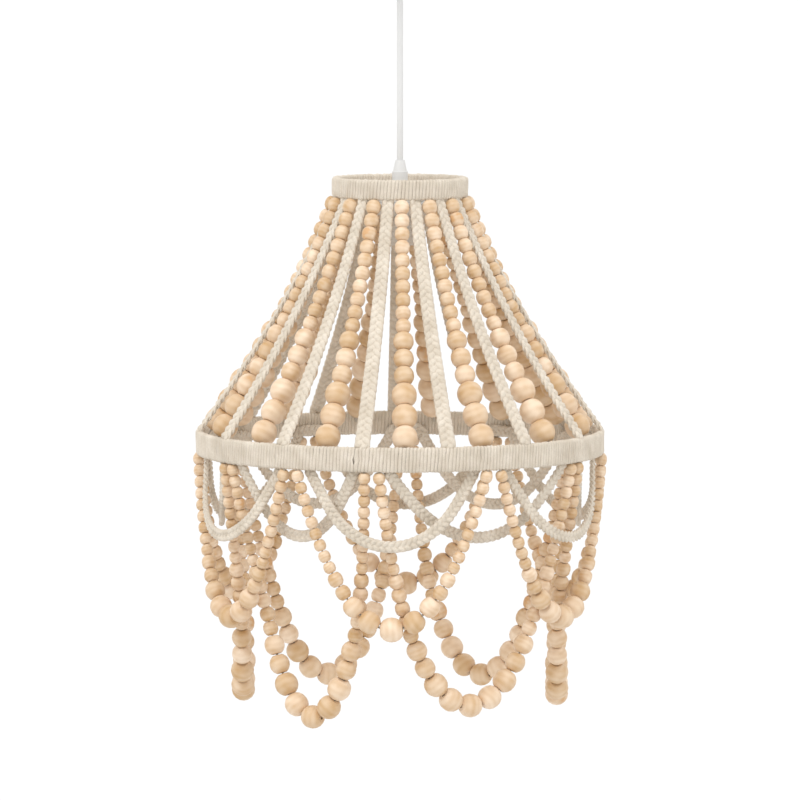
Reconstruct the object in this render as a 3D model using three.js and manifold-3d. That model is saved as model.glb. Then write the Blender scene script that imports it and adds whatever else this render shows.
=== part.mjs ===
import * as THREE from 'three';
import { mergeVertices } from 'three/addons/utils/BufferGeometryUtils.js';
import Module from 'manifold-3d';

// A hanging lamp shade of wooden beads and cotton braid on two bound hoops, with its cable,
// lamp holder and ceiling cup. Lengths are in millimetres and +Z is up. The origin is the
// centre of the ceiling face, so everything lies below it. The front of the lamp is -Y.

// Hoops: flat steel bands bound all round with cotton cord
const topHoopDiameter = 133;
const topHoopHeight = 20;
const midHoopDiameter = 400;
const midHoopHeight = 24;
const hoopThickness = 7;
const hoopSpacing = 249;
const bindingThickness = 2;
const slotWidth = 3;
const slotHeight = 7;
const slotSpacing = 16;
const topHoopSteps = 24;
const midHoopSteps = 40;

// Fits
const seatGap = 0.3;
const cutOverrun = 1;

// Ceiling cup with its strap, terminal block and cord grip
const cupDiameter = 100;
const cupHeight = 27;
const cupWall = 1.6;
const cupCornerRadius = 12;
const cupSteps = 20;
const strapWidth = 18;
const strapThickness = 1.6;
const strapTabHeight = 10;
const strapSlotWidth = 5;
const strapSlotLength = 14;
const strapSlotSpacing = 50;
const blockLength = 30;
const blockWidth = 15;
const blockHeight = 12;
const blockHoleDiameter = 4;
const blockPitch = 9;
const blockPoles = 3;
const ceilingGripLength = 15;
const ceilingGripDiameter = 20;
const gripStemDiameter = 10;
const gripNutDiameter = 17;
const gripNutHeight = 4;

// Pendant cable and the grip at its lower end
const cableDiameter = 6.2;
const cableFreeLength = 173;
const cableSides = 8;
const cableSteps = 10;
const swingDegrees = 8;
const gripTipDiameter = 9;
const gripWaistDiameter = 14;
const gripCollarDiameter = 15.4;
const gripConeLength = 11;
const gripCollarLength = 10;
const gripCollarStep = 1;
const gripMouthDepth = 4;
const gripSteps = 12;

// Lamp holder and the wire spider that carries the shade
const holderCapHeight = 15;
const holderDiameter = 40;
const holderBodyLength = 46;
const holderBoreDiameter = 27;
const holderBoreDepth = 34;
const holderFlange = 3;
const holderFlangeHeight = 4;
const holderSteps = 16;
const shadeRingHeight = 8;
const shadeRingWidth = 7;
const spiderWire = 4;
const spiderWireSides = 6;
const spiderArms = 3;
const spiderRingWidth = 7;

// Beads, by diameter; a bead is a little shorter than wide, for its drilled ends are flat
const seedBead = 12;
const smallBead = 15;
const mediumBead = 20;
const largeBead = 25;
const outerShoulderBead = 22;
const outerCentreBead = 24;
const innerCentreBead = 23;
const beadLengthShare = 0.9;
const threadDiameter = 2;
const beadSides = 5;
const neckSides = 3;
const neckShare = 0.6;

// Upper strands and braids, alternating round the bell; small beads fill a strand above these
const strandCount = 15;
const firstStrandDegrees = 1.5;
const strandFootBeads = [
  { count: 3, diameter: mediumBead },
  { count: 3, diameter: largeBead },
];
const strandTail = 9.5;
const strandTopInset = 2.5;
const strandEndDrop = 10;
const bellFlareShare = 0.75;
const braidTopWidth = 12;
const braidFootWidth = 14.5;
const braidThickness = 4;
const braidTopInset = 3.2;
const braidEndInset = 3.2;
const braidSteps = 5;

// Lower bead swags: six shallow ones outside, six deep ones inside, half a step round
const outerSwagDegrees = [-32, 27, 88, 148, 208, 268];
const outerSwagBeads = [
  { count: 9, diameter: seedBead },
  { count: 2, diameter: smallBead },
  { count: 1, diameter: mediumBead },
  { count: 1, diameter: outerShoulderBead },
  { count: 1, diameter: outerCentreBead },
  { count: 1, diameter: outerShoulderBead },
  { count: 1, diameter: mediumBead },
  { count: 2, diameter: smallBead },
  { count: 9, diameter: seedBead },
];
const outerSwagSlack = 25.4;
const outerSwagSeatInset = 2.5;
const outerSwagMidInset = 14.5;
const outerSwagCurve = 1.25;
const innerSwagDegrees = [-8, 60, 118, 178, 238, 302];
const innerSwagBeads = [
  { count: 9, diameter: seedBead },
  { count: 5, diameter: smallBead },
  { count: 2, diameter: mediumBead },
  { count: 5, diameter: innerCentreBead },
  { count: 2, diameter: mediumBead },
  { count: 5, diameter: smallBead },
  { count: 9, diameter: seedBead },
];
const innerSwagSlack = 25.1;
const innerSwagSeatInset = 4.8;
const swagMidSpacing = 31.5;
const innerSwagCurve = 2;
const swagPushDepth = 147;
const swagPairHalfSpacing = 6.8;
const swagSeatGap = 0.6;

// Lower braid festoons, one cord for the outer points and one for the inner points
const festoonWidth = 11;
const festoonHalfSpacing = 19.5;
const festoonLinkDrop = 1;
const festoonTurnDrop = 2.5;
const festoonExitDrop = 6;
const linkEndShare = 0.4;
const linkTurnShare = 0.78;
const outerFestoonDrop = 71;
const innerFestoonDrop = 66;
const outerFestoonMidInset = 3.5;
const innerFestoonMidInset = 25;
const festoonCurve = 1.5;
const festoonSteps = 6;

// Levels, from the ceiling down
const cupFloor = -cupHeight;
const ceilingGripTip = cupFloor - ceilingGripLength;
const cableTop = ceilingGripTip + gripMouthDepth;
const cableEnd = cableTop - cableFreeLength - 2 * gripMouthDepth;
const gripTop = cableEnd + gripMouthDepth;
const collarTop = gripTop - gripConeLength;
const gripFoot = collarTop - gripCollarLength;
const capTop = gripFoot - seatGap;
const bodyTop = capTop - holderCapHeight - seatGap;
const bodyFoot = bodyTop - holderBodyLength;
const spiderLevel = bodyTop - holderFlangeHeight - seatGap - spiderWire / 2;
const topHoopLevel = gripFoot - seatGap - topHoopHeight / 4;
const topHoopFoot = topHoopLevel - topHoopHeight / 2;
const midHoopLevel = topHoopLevel - hoopSpacing;
const midHoopTop = midHoopLevel + midHoopHeight / 2;
const midHoopFoot = midHoopLevel - midHoopHeight / 2;

// Radii that other pieces seat on
const topHoopRadius = topHoopDiameter / 2;
const midHoopRadius = midHoopDiameter / 2;
const midHoopInner = (midHoopRadius - hoopThickness) * Math.cos(Math.PI / midHoopSteps);
const outerSwagMidRadius = midHoopRadius - outerSwagMidInset;
const innerSwagMidRadius = outerSwagMidRadius - swagMidSpacing;
const outerSwagThread = beadsLength(outerSwagBeads) + outerSwagSlack;
const innerSwagThread = beadsLength(innerSwagBeads) + innerSwagSlack;
const cordRadius = cableDiameter / 2;
const threadRadius = threadDiameter / 2;
const radians = Math.PI / 180;
const curveDivisions = 200;

const wasm = await Module();
wasm.setup();

const model = new THREE.Group();
const colours = {
  wood: { color: 0xe2c196, roughness: 0.55, metalness: 0 },
  cotton: { color: 0xe8dfcf, roughness: 0.95, metalness: 0 },
  plastic: { color: 0xe9e9e7, roughness: 0.45, metalness: 0 },
  cable: { color: 0xeeeeec, roughness: 0.5, metalness: 0 },
  steel: { color: 0xb9bbbd, roughness: 0.4, metalness: 0.9 },
  enamel: { color: 0xf0f0ee, roughness: 0.4, metalness: 0.1 },
};

function addPiece(name, geometry, finish) {
  const mesh = new THREE.Mesh(geometry, new THREE.MeshStandardMaterial(colours[finish]));
  mesh.name = name;
  model.add(mesh);
  return mesh;
}

// Point at an angle round the lamp (0 at the front, growing to the right), a radius and a level
function polar(degrees, radius, level) {
  const angle = degrees * radians;
  return new THREE.Vector3(radius * Math.sin(angle), -radius * Math.cos(angle), level);
}

// Volume enclosed by a closed mesh, negative when it is inside out
function signedVolume(geometry) {
  const place = geometry.attributes.position;
  const index = geometry.index;
  const corners = [new THREE.Vector3(), new THREE.Vector3(), new THREE.Vector3()];
  let volume = 0;
  for (let i = 0; i < index.count; i += 3) {
    corners.forEach((corner, k) => corner.fromBufferAttribute(place, index.getX(i + k)));
    volume += corners[0].dot(corners[1].clone().cross(corners[2])) / 6;
  }
  return volume;
}

// Merges shared vertices and turns the faces outwards
function closedMesh(geometry) {
  const bare = geometry.clone();
  bare.deleteAttribute('normal');
  bare.deleteAttribute('uv');
  const merged = mergeVertices(bare, 1e-3);
  if (signedVolume(merged) < 0) {
    const index = merged.index;
    for (let i = 0; i < index.count; i += 3) {
      const first = index.getX(i);
      index.setX(i, index.getX(i + 1));
      index.setX(i + 1, first);
    }
  }
  return merged;
}

function toSolid(geometry) {
  const merged = closedMesh(geometry);
  return new wasm.Manifold(new wasm.Mesh({
    numProp: 3,
    vertProperties: new Float32Array(merged.attributes.position.array),
    triVerts: new Uint32Array(merged.index.array),
  }));
}

function toGeometry(solid) {
  const mesh = solid.getMesh();
  const geometry = new THREE.BufferGeometry();
  geometry.setAttribute('position', new THREE.BufferAttribute(mesh.vertProperties, 3));
  geometry.setIndex(new THREE.BufferAttribute(mesh.triVerts, 1));
  return geometry;
}

// Solid of revolution about Z from [radius, level] pairs
function revolve(outline, steps) {
  const points = outline.map(([radius, level]) => new THREE.Vector2(radius, level));
  const geometry = new THREE.LatheGeometry(points, steps);
  geometry.rotateX(Math.PI / 2);
  return closedMesh(geometry);
}

// Band of rectangular section round Z, its corners cut off by a chamfer
function bandOutline(inner, outer, foot, top, chamfer) {
  const outline = [
    [inner + chamfer, foot],
    [outer - chamfer, foot],
    [outer, foot + chamfer],
    [outer, top - chamfer],
    [outer - chamfer, top],
    [inner + chamfer, top],
    [inner, top - chamfer],
    [inner, foot + chamfer],
  ];
  const sharp = outline.filter((point, i) => {
    const next = outline[(i + 1) % outline.length];
    return point[0] !== next[0] || point[1] !== next[1];
  });
  return [...sharp, sharp[0]];
}

function boxAt(width, depth, height, centre, turnDegrees) {
  const geometry = new THREE.BoxGeometry(width, depth, height);
  geometry.rotateZ(turnDegrees * radians);
  geometry.translate(centre.x, centre.y, centre.z);
  return toSolid(geometry);
}

// Bands two rings together with triangles; the rings may have unlike counts of points
function bandFaces(near, nearCount, far, farCount) {
  const faces = [];
  let i = 0;
  let j = 0;
  while (i < nearCount || j < farCount) {
    const here = near + (i % nearCount);
    const there = far + (j % farCount);
    if ((i + 1) / nearCount <= (j + 1) / farCount) {
      faces.push(here, near + ((i + 1) % nearCount), there);
      i++;
    } else {
      faces.push(here, far + ((j + 1) % farCount), there);
      j++;
    }
  }
  return faces;
}

// Skins rings of points into one closed body; a looped body has no end caps
function skin(rings, looped) {
  const places = rings.flat().flatMap((point) => [point.x, point.y, point.z]);
  const starts = [];
  let count = 0;
  for (const ring of rings) {
    starts.push(count);
    count += ring.length;
  }
  const faces = [];
  const spans = looped ? rings.length : rings.length - 1;
  for (let i = 0; i < spans; i++) {
    const next = (i + 1) % rings.length;
    faces.push(...bandFaces(starts[i], rings[i].length, starts[next], rings[next].length));
  }
  if (!looped) {
    for (let k = 1; k < rings[0].length - 1; k++) faces.push(0, k + 1, k);
    const last = starts[rings.length - 1];
    for (let k = 1; k < rings[rings.length - 1].length - 1; k++) {
      faces.push(last, last + k, last + k + 1);
    }
  }
  const geometry = new THREE.BufferGeometry();
  geometry.setAttribute('position', new THREE.Float32BufferAttribute(places, 3));
  geometry.setIndex(faces);
  return closedMesh(geometry);
}

// Ring of points round a path point, square to the path
function sectionRing(centre, tangent, side, radius, sides) {
  const across = side.clone().addScaledVector(tangent, -side.dot(tangent)).normalize();
  const third = tangent.clone().cross(across);
  return Array.from({ length: sides }, (_, k) => {
    const angle = (k / sides) * 2 * Math.PI;
    return centre.clone()
      .addScaledVector(across, radius * Math.cos(angle))
      .addScaledVector(third, radius * Math.sin(angle));
  });
}

// Flat section of a braid: wide along the surface of the shade, thin across it
function braidRing(centre, tangent, outward, width) {
  const across = outward.clone().addScaledVector(tangent, -outward.dot(tangent)).normalize();
  const wide = tangent.clone().cross(across);
  const corners = [[1, 1], [-1, 1], [-1, -1], [1, -1]];
  return corners.map(([w, t]) => centre.clone()
    .addScaledVector(wide, (w * width) / 2)
    .addScaledVector(across, (t * braidThickness) / 2));
}

// Length that a row of beads takes up on its thread
function beadsLength(groups) {
  return groups.reduce((sum, { count, diameter }) =>
    sum + count * diameter * beadLengthShare, 0);
}

// A thread of beads as one body along a curve; the spare thread shows most beside large beads
function beadThread(curve, groups, tail, side) {
  const diameters = groups.flatMap(({ count, diameter }) => Array(count).fill(diameter));
  const lengths = diameters.map((diameter) => diameter * beadLengthShare);
  const smallest = Math.min(...diameters);
  const weights = diameters.slice(1).map((diameter, i) =>
    Math.max(diameter + diameters[i] - 2 * smallest, smallest * neckShare));
  const total = curve.getLength();
  const spare = total - tail - lengths.reduce((sum, length) => sum + length, 0);
  const weightTotal = weights.reduce((sum, weight) => sum + weight, 0);
  const stations = [[0, threadRadius, neckSides]];
  let place = 0;
  diameters.forEach((diameter, i) => {
    stations.push([place + lengths[i] / 2, diameter / 2, beadSides]);
    place += lengths[i];
    if (i < weights.length) {
      const gap = (spare * weights[i]) / weightTotal;
      const neck = (neckShare * Math.min(diameter, diameters[i + 1])) / 2;
      stations.push([place + gap / 2, neck, neckSides]);
      place += gap;
    }
  });
  if (tail > 0) stations.push([total - tail, threadRadius, neckSides]);
  stations.push([total, threadRadius, neckSides]);
  const rings = stations.map(([along, radius, sides]) => {
    const share = Math.min(along / total, 1);
    return sectionRing(curve.getPointAt(share), curve.getTangentAt(share), side, radius, sides);
  });
  return skin(rings, false);
}

// Line from the top hoop to the mid hoop that flares outwards like a bell
class BellCurve extends THREE.Curve {
  constructor(degrees, topRadius, top, footRadius, foot) {
    super();
    Object.assign(this, { degrees, topRadius, top, footRadius, foot });
    this.arcLengthDivisions = curveDivisions;
  }

  getPoint(t) {
    const flare = bellFlareShare * t + (1 - bellFlareShare) * t * t;
    const radius = this.topRadius + (this.footRadius - this.topRadius) * flare;
    return polar(this.degrees, radius, this.top + (this.foot - this.top) * t);
  }
}

// Depth below its ends of a hanging line, as a share of its drop, from -1 to 1 along its span
function hangShare(u, curve) {
  return 1 - (Math.cosh(curve * u) - 1) / (Math.cosh(curve) - 1);
}

// Swag between two points, pushed out or in from the upright plane through them until its
// middle hangs at a radius of its own
class SwagCurve extends THREE.Curve {
  constructor(start, end, drop, curve, midRadius) {
    super();
    const chord = end.clone().sub(start);
    const outward = new THREE.Vector3(-chord.y, chord.x, 0).normalize();
    if (outward.dot(start) < 0) outward.negate();
    const push = midRadius - outward.dot(start);
    Object.assign(this, { start, chord, outward, drop, curve, push });
    this.arcLengthDivisions = curveDivisions;
  }

  getPoint(t) {
    const depth = this.drop * hangShare(2 * t - 1, this.curve);
    return this.start.clone()
      .addScaledVector(this.chord, t)
      .addScaledVector(this.outward, this.push * Math.min(depth / swagPushDepth, 1))
      .add(new THREE.Vector3(0, 0, -depth));
  }
}

// The drop at which a swag takes up its whole thread
function hungSwag(start, end, thread, curve, midRadius) {
  let low = 0;
  let high = thread / 2;
  for (let i = 0; i < 30; i++) {
    const middle = (low + high) / 2;
    const short = new SwagCurve(start, end, middle, curve, midRadius).getLength() < thread;
    if (short) low = middle;
    else high = middle;
  }
  return new SwagCurve(start, end, high, curve, midRadius);
}

// Bound hoop: steel band inside a binding of cotton cord
function hoopBand(radius, height, level, steps) {
  const inset = bindingThickness + seatGap;
  const foot = level - height / 2 + inset;
  const top = level + height / 2 - inset;
  return revolve(bandOutline(radius - hoopThickness + inset, radius - inset, foot, top, 0), steps);
}

function hoopBinding(radius, height, level, steps, cuts) {
  const foot = level - height / 2;
  const top = level + height / 2;
  const inner = radius - hoopThickness;
  const wall = bindingThickness;
  const outside = toSolid(revolve(bandOutline(inner, radius, foot, top, 0), steps));
  const inside = toSolid(revolve(
    bandOutline(inner + wall, radius - wall, foot + wall, top - wall, 0), steps));
  const hollow = outside.subtract(inside);
  return toGeometry(cuts.reduce((solid, cut) => solid.subtract(cut), hollow));
}

// Spider: bent wires from a flat centre ring up to the steel band of the top hoop
function spiderSolid() {
  const ringInner = holderDiameter / 2 + 2 * seatGap;
  const ringOuter = ringInner + spiderRingWidth;
  const half = spiderWire / 2;
  const ringTurn = bandOutline(ringInner, ringOuter, spiderLevel - half, spiderLevel + half, 0);
  const bandInner = topHoopRadius - hoopThickness + bindingThickness + seatGap;
  const reach = bandInner * Math.cos(Math.PI / topHoopSteps) - seatGap;
  const elbow = reach - 2 * spiderWire;
  let solid = toSolid(revolve(ringTurn, holderSteps));
  for (let i = 0; i < spiderArms; i++) {
    const degrees = (360 / spiderArms) * i;
    const route = [
      polar(degrees, (ringInner + ringOuter) / 2, spiderLevel),
      polar(degrees, elbow, topHoopLevel),
      polar(degrees, reach, topHoopLevel),
    ];
    const rings = route.map((point, k) => {
      const before = route[Math.max(k - 1, 0)];
      const after = route[Math.min(k + 1, route.length - 1)];
      const tangent = after.clone().sub(before).normalize();
      return sectionRing(point, tangent, polar(degrees + 90, 1, 0), half, spiderWireSides);
    });
    solid = solid.add(toSolid(skin(rings, false)));
  }
  return solid;
}

// Mouth of a cord grip as [radius, level] pairs: a bell that lets the cable lean
function mouthOutline(tip, inward) {
  const throat = cordRadius + seatGap;
  const lip = throat + gripMouthDepth * Math.tan(swingDegrees * radians);
  const rest = tip + inward * gripMouthDepth;
  const bottom = rest + inward * (seatGap + cordRadius * Math.sin(swingDegrees * radians));
  return [[lip, tip], [throat, rest], [throat, bottom], [0, bottom]];
}

// Ceiling parts: cup, strap screwed to the ceiling, terminal block and cord grip
function cupSolid() {
  const radius = cupDiameter / 2;
  const hole = gripStemDiameter / 2 + seatGap;
  const turn = [0, 1, 2, 3, 4].map((i) => (i / 4) * (Math.PI / 2));
  const arc = (bend) => turn.map((angle) => [
    radius - cupCornerRadius + bend * Math.cos(angle),
    cupFloor + cupCornerRadius - bend * Math.sin(angle),
  ]);
  const outline = [
    [radius, 0],
    ...arc(cupCornerRadius),
    [hole, cupFloor],
    [hole, cupFloor + cupWall],
    ...arc(cupCornerRadius - cupWall).reverse(),
    [radius - cupWall, 0],
    [radius, 0],
  ];
  return revolve(outline, cupSteps);
}

function strapSolid() {
  const cupInner = (cupDiameter / 2 - cupWall) * Math.cos(Math.PI / cupSteps);
  const reach = Math.sqrt(cupInner ** 2 - (strapWidth / 2) ** 2) - seatGap;
  const section = new THREE.Shape([
    new THREE.Vector2(-reach, 0),
    new THREE.Vector2(-reach, -strapTabHeight),
    new THREE.Vector2(-reach + strapThickness, -strapTabHeight),
    new THREE.Vector2(-reach + strapThickness, -strapThickness),
    new THREE.Vector2(reach - strapThickness, -strapThickness),
    new THREE.Vector2(reach - strapThickness, -strapTabHeight),
    new THREE.Vector2(reach, -strapTabHeight),
    new THREE.Vector2(reach, 0),
  ]);
  const bent = new THREE.ExtrudeGeometry(section, { depth: strapWidth, bevelEnabled: false });
  bent.rotateX(Math.PI / 2);
  bent.translate(0, strapWidth / 2, 0);
  const straight = strapSlotLength - strapSlotWidth;
  const slot = new THREE.Shape();
  slot.absarc(-straight / 2, 0, strapSlotWidth / 2, Math.PI / 2, 1.5 * Math.PI, false);
  slot.absarc(straight / 2, 0, strapSlotWidth / 2, -Math.PI / 2, Math.PI / 2, false);
  const depth = strapThickness + 2 * cutOverrun;
  const options = { depth, bevelEnabled: false, curveSegments: 6 };
  let solid = toSolid(bent);
  for (const side of [-1, 1]) {
    const cutter = new THREE.ExtrudeGeometry(slot, options);
    cutter.translate((side * strapSlotSpacing) / 2, 0, -strapThickness - cutOverrun);
    solid = solid.subtract(toSolid(cutter));
  }
  return solid;
}

function terminalSolid() {
  const top = -strapThickness - seatGap;
  const middle = top - blockHeight / 2;
  let solid = boxAt(blockLength, blockWidth, blockHeight, new THREE.Vector3(0, 0, middle), 0);
  const drill = blockHoleDiameter / 2;
  for (let i = 0; i < blockPoles; i++) {
    const along = (i - (blockPoles - 1) / 2) * blockPitch;
    const wireHole = new THREE.CylinderGeometry(drill, drill, blockWidth + 2 * cutOverrun, 8);
    wireHole.translate(along, 0, middle);
    solid = solid.subtract(toSolid(wireHole));
  }
  return solid;
}

function ceilingGripSolid() {
  const flange = ceilingGripDiameter / 2;
  const stem = gripStemDiameter / 2;
  const nut = gripNutDiameter / 2;
  const nutFoot = cupFloor + cupWall + seatGap;
  const shoulder = cupFloor - seatGap;
  const outline = [
    [0, nutFoot + gripNutHeight],
    [nut, nutFoot + gripNutHeight],
    [nut, nutFoot],
    [stem, nutFoot],
    [stem, shoulder],
    [flange, shoulder],
    [flange, shoulder - gripCollarStep],
    [gripTipDiameter / 2, ceilingGripTip],
    ...mouthOutline(ceilingGripTip, 1),
  ];
  return revolve(outline, gripSteps);
}

// Lower cord grip: a cone on a collar, which stands on the cap of the lamp holder
function lowerGripSolid() {
  const outline = [
    [0, gripFoot],
    [gripCollarDiameter / 2 - gripCollarStep, gripFoot],
    [gripCollarDiameter / 2, gripFoot + gripCollarStep],
    [gripCollarDiameter / 2, collarTop],
    [gripWaistDiameter / 2, collarTop],
    [gripTipDiameter / 2, gripTop],
    ...mouthOutline(gripTop, -1),
  ];
  return revolve(outline, gripSteps);
}

function cableSolid() {
  const section = new THREE.Shape();
  for (let k = 0; k < cableSides; k++) {
    const angle = (k / cableSides) * 2 * Math.PI;
    const across = cordRadius * Math.cos(angle);
    const along = cordRadius * Math.sin(angle);
    if (k === 0) section.moveTo(across, along);
    else section.lineTo(across, along);
  }
  const path = new THREE.LineCurve3(
    new THREE.Vector3(0, 0, cableTop), new THREE.Vector3(0, 0, cableEnd));
  const options = { steps: cableSteps, extrudePath: path, bevelEnabled: false };
  return closedMesh(new THREE.ExtrudeGeometry(section, options));
}

// Lamp holder: domed cap, flanged body with its lamp socket, and the ring that clamps the spider
function holderCapSolid() {
  const foot = bodyTop + seatGap;
  const radius = holderDiameter / 2;
  const crown = gripCollarDiameter / 2 + gripCollarStep;
  const dome = [1, 2, 3, 4].map((i) => {
    const angle = (i / 4) * (Math.PI / 2);
    return [
      crown + (radius - crown) * Math.sin(angle),
      foot + (holderCapHeight * (1 + Math.cos(angle))) / 2,
    ];
  });
  return revolve([[0, capTop], [crown, capTop], ...dome, [radius, foot], [0, foot]], holderSteps);
}

function holderBodySolid() {
  const radius = holderDiameter / 2;
  const bore = holderBoreDiameter / 2;
  const flangeFoot = bodyTop - holderFlangeHeight;
  const outline = [
    [0, bodyTop],
    [radius + holderFlange, bodyTop],
    [radius + holderFlange, flangeFoot],
    [radius, flangeFoot],
    [radius, bodyFoot],
    [bore, bodyFoot],
    [bore, bodyFoot + holderBoreDepth],
    [0, bodyFoot + holderBoreDepth],
  ];
  return revolve(outline, holderSteps);
}

function shadeRingSolid() {
  const top = spiderLevel - spiderWire / 2 - seatGap;
  const inner = holderDiameter / 2 + seatGap;
  return revolve(
    bandOutline(inner, inner + shadeRingWidth, top - shadeRingHeight, top, gripCollarStep),
    holderSteps);
}

// Braid festoon: one cord that runs behind the mid hoop past each point and hangs between them
function festoonSolid(points, drop, midInset) {
  const linkRadius = midHoopInner - braidThickness / 2 - 2 * seatGap;
  const linkLevel = midHoopFoot + festoonWidth / 2 + festoonLinkDrop;
  const startLevel = midHoopFoot - festoonExitDrop;
  const hangDrop = drop - festoonExitDrop;
  const stride = festoonHalfSpacing / linkRadius / radians;
  const rings = [];
  const route = [];
  points.forEach((point, i) => {
    const next = points[(i + 1) % points.length] + (i + 1 < points.length ? 0 : 360);
    const first = point + stride;
    const last = next - stride;
    route.push(polar(point + stride * linkEndShare, linkRadius, linkLevel));
    route.push(polar(point + stride * linkTurnShare, linkRadius, linkLevel - festoonTurnDrop));
    for (let k = 0; k <= festoonSteps; k++) {
      const u = (2 * k) / festoonSteps - 1;
      const hang = hangShare(u, festoonCurve);
      const radius = linkRadius + (midHoopRadius - midInset - linkRadius) * hang;
      const degrees = first + ((last - first) * (u + 1)) / 2;
      route.push(polar(degrees, radius, startLevel - hangDrop * hang));
    }
    route.push(polar(next - stride * linkTurnShare, linkRadius, linkLevel - festoonTurnDrop));
    route.push(polar(next - stride * linkEndShare, linkRadius, linkLevel));
  });
  route.forEach((point, k) => {
    const before = route[(k + route.length - 1) % route.length];
    const after = route[(k + 1) % route.length];
    const tangent = after.clone().sub(before).normalize();
    const outward = new THREE.Vector3(point.x, point.y, 0).normalize();
    rings.push(braidRing(point, tangent, outward, festoonWidth));
  });
  return skin(rings, true);
}

// Hoops
const armCuts = Array.from({ length: spiderArms }, (_, i) => {
  const degrees = (360 / spiderArms) * i;
  const place = polar(degrees, topHoopRadius - hoopThickness + bindingThickness / 2, topHoopLevel);
  const side = spiderWire + 4 * seatGap;
  return boxAt(side, 2 * bindingThickness, side, place, degrees);
});
addPiece('top_hoop_band',
  hoopBand(topHoopRadius, topHoopHeight, topHoopLevel, topHoopSteps), 'steel');
addPiece('top_hoop_binding',
  hoopBinding(topHoopRadius, topHoopHeight, topHoopLevel, topHoopSteps, armCuts), 'cotton');

const slotCuts = [...outerSwagDegrees, ...innerSwagDegrees].map((degrees) => {
  const stride = slotSpacing / midHoopRadius / radians;
  const place = polar(degrees - stride, midHoopRadius - bindingThickness / 2, midHoopLevel);
  return boxAt(slotWidth, 2 * bindingThickness + cutOverrun, slotHeight, place, degrees - stride);
});
addPiece('mid_hoop_band',
  hoopBand(midHoopRadius, midHoopHeight, midHoopLevel, midHoopSteps), 'steel');
addPiece('mid_hoop_binding',
  hoopBinding(midHoopRadius, midHoopHeight, midHoopLevel, midHoopSteps, slotCuts), 'cotton');

// Bead strands and braids of the bell; the beads press the braids narrower at the top hoop
const strandStep = 360 / strandCount;
const topSpacing = (topHoopRadius - strandTopInset) * Math.sin((strandStep / 2) * radians);
const pressedWidth = Math.min(braidTopWidth, 2 * topSpacing - smallBead - 2 * seatGap);
for (let i = 0; i < strandCount; i++) {
  const number = String(i + 1).padStart(2, '0');
  const degrees = firstStrandDegrees + strandStep * i;
  const strand = new BellCurve(degrees,
    topHoopRadius - strandTopInset, topHoopFoot - seatGap,
    midHoopInner - seatGap - threadRadius, midHoopTop - strandEndDrop);
  const room = strand.getLength() - strandTail - beadsLength(strandFootBeads);
  const count = Math.floor(room / (smallBead * beadLengthShare));
  const beads = [{ count, diameter: smallBead }, ...strandFootBeads];
  const side = polar(degrees + 90, 1, 0);
  addPiece(`bead_strand_${number}`, beadThread(strand, beads, strandTail, side), 'wood');

  const between = degrees + strandStep / 2;
  const topRadius = topHoopRadius - braidTopInset;
  const footRadius = midHoopRadius - braidEndInset;
  const flatFoot = midHoopTop + seatGap;
  const slope = ((2 - bellFlareShare) * (footRadius - topRadius)) / (topHoopFoot - flatFoot);
  const lift = (braidThickness / 2) * Math.sin(Math.atan(slope));
  const line = new BellCurve(between, topRadius, topHoopFoot - seatGap - lift,
    footRadius, flatFoot + lift);
  const outward = polar(between, 1, 0);
  const rings = Array.from({ length: braidSteps + 1 }, (_, k) => {
    const along = k / braidSteps;
    const free = braidTopWidth + (braidFootWidth - braidTopWidth) * along;
    const width = k === 0 ? pressedWidth : free;
    return braidRing(line.getPointAt(along), line.getTangentAt(along), outward, width);
  });
  addPiece(`braid_${number}`, skin(rings, false), 'cotton');
}

// Bead swags below the mid hoop
function addSwags(name, points, beads, thread, seatInset, curve, midRadius) {
  const radius = midHoopRadius - seatInset;
  const level = midHoopFoot - swagSeatGap;
  const stride = swagPairHalfSpacing / radius / radians;
  points.forEach((point, i) => {
    const next = points[(i + 1) % points.length] + (i + 1 < points.length ? 0 : 360);
    const start = polar(point + stride, radius, level);
    const end = polar(next - stride, radius, level);
    const swag = hungSwag(start, end, thread, curve, midRadius);
    addPiece(`${name}_${i + 1}`, beadThread(swag, beads, 0, swag.outward), 'wood');
  });
}
addSwags('outer_swag', outerSwagDegrees, outerSwagBeads, outerSwagThread,
  outerSwagSeatInset, outerSwagCurve, outerSwagMidRadius);
addSwags('inner_swag', innerSwagDegrees, innerSwagBeads, innerSwagThread,
  innerSwagSeatInset, innerSwagCurve, innerSwagMidRadius);

addPiece('outer_festoon',
  festoonSolid(outerSwagDegrees, outerFestoonDrop, outerFestoonMidInset), 'cotton');
addPiece('inner_festoon',
  festoonSolid(innerSwagDegrees, innerFestoonDrop, innerFestoonMidInset), 'cotton');

// Lamp holder, spider, grips and cable
addPiece('spider', toGeometry(spiderSolid()), 'enamel');
addPiece('lamp_holder_cap', holderCapSolid(), 'plastic');
addPiece('lamp_holder_body', holderBodySolid(), 'plastic');
addPiece('shade_ring', shadeRingSolid(), 'plastic');
addPiece('cord_grip', lowerGripSolid(), 'plastic');
addPiece('pendant_cable', cableSolid(), 'cable');

// Ceiling parts
addPiece('ceiling_cup', cupSolid(), 'enamel');
addPiece('ceiling_strap', toGeometry(strapSolid()), 'steel');
addPiece('terminal_block', toGeometry(terminalSolid()), 'plastic');
addPiece('ceiling_grip', ceilingGripSolid(), 'plastic');

export default model;
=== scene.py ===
import math

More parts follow.
